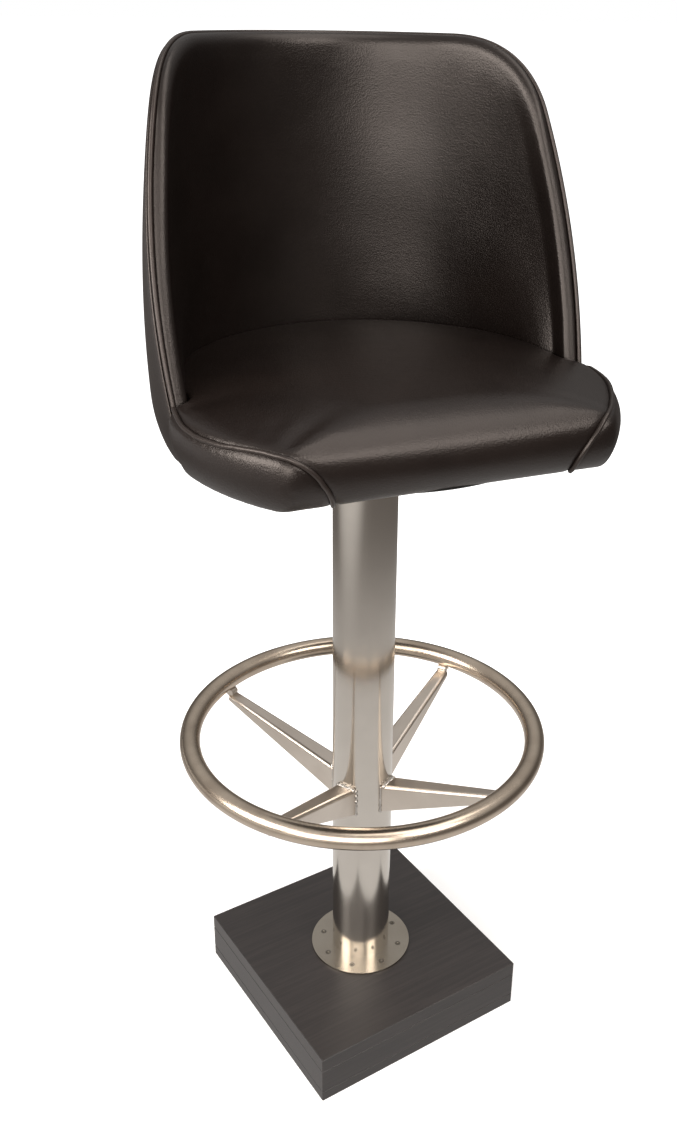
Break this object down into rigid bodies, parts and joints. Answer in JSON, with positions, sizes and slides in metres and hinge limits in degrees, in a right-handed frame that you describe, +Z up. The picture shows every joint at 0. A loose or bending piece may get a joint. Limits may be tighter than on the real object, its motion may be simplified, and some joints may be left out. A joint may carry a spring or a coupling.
{
  "type": "bar stool",
  "caption": "Bar stool: upholstered leather tub seat that swivels on a steel column, with a welded round foot ring and a square layered base.",
  "frame": {"origin": "middle of the underside of the square base, on the floor", "axes": "+Z up along the column, +X and +Y along the sides of the base; the seat at rest faces -Y, turned 10.5 degrees clockwise seen from above"},
  "size_m": [0.4898, 0.4927, 1.216],
  "materials": {
    "black_board": "black satin lacquer on board",
    "zinc_screw": "zinc plated steel",
    "steel_screw": "plain stainless countersunk screw",
    "satin_flange": "stainless plate, satin, faintly warm",
    "satin_column": "stainless tube, fine satin polish",
    "brushed_ring": "stainless tube, bright brushed, faintly warm",
    "satin_arm": "folded stainless sheet, ground satin, welded ends",
    "machined_steel": "turned steel",
    "bronze": "sintered bronze",
    "nylon": "plain nylon",
    "spring_steel": "blued spring steel",
    "black_steel": "black painted steel",
    "plywood": "birch plywood",
    "black_cloth": "black woven lining",
    "back_leather": "black-brown grained leather, semi-gloss",
    "inner_back_leather": "black-brown grained leather, semi-gloss, padded",
    "piping_leather": "black-brown leather piping, gloss",
    "cushion_leather": "black-brown grained leather, semi-gloss, padded"
  },
  "bodies": {
    "base": {"base_bottom_board": "black_board", "base_middle_board": "black_board", "base_top_board": "black_board", "base_board_screws": "zinc_screw", "floor_flange": "satin_flange", "flange_screws": "steel_screw", "column_tube": "satin_column", "foot_ring": "brushed_ring", "footrest_arm_right_rear": "satin_arm", "footrest_arm_left_rear": "satin_arm", "footrest_arm_left_front": "satin_arm", "footrest_arm_right_front": "satin_arm", "column_head": "machined_steel", "upper_bush": "bronze", "lower_bush": "bronze", "thrust_washer": "nylon"},
    "seat": {"swivel_spindle": "machined_steel", "spindle_washer": "machined_steel", "retaining_clip": "spring_steel", "seat_plate": "black_steel", "seat_bolts": "zinc_screw", "tee_nuts": "zinc_screw", "seat_board": "plywood", "dust_cover": "black_cloth", "back_shell": "plywood", "shell_screws": "zinc_screw", "back_cover": "back_leather", "back_pad": "inner_back_leather", "rim_piping": "piping_leather", "cushion_piping_left": "piping_leather", "cushion_piping_right": "piping_leather", "seat_cushion": "cushion_leather"}
  },
  "joints": [
    {"name": "seat_swivel", "type": "hinge", "parent": "base", "child": "seat", "pos_m": [0, 0, 0.8], "axis": [0, 0, 1], "continuous": true}
  ]
}
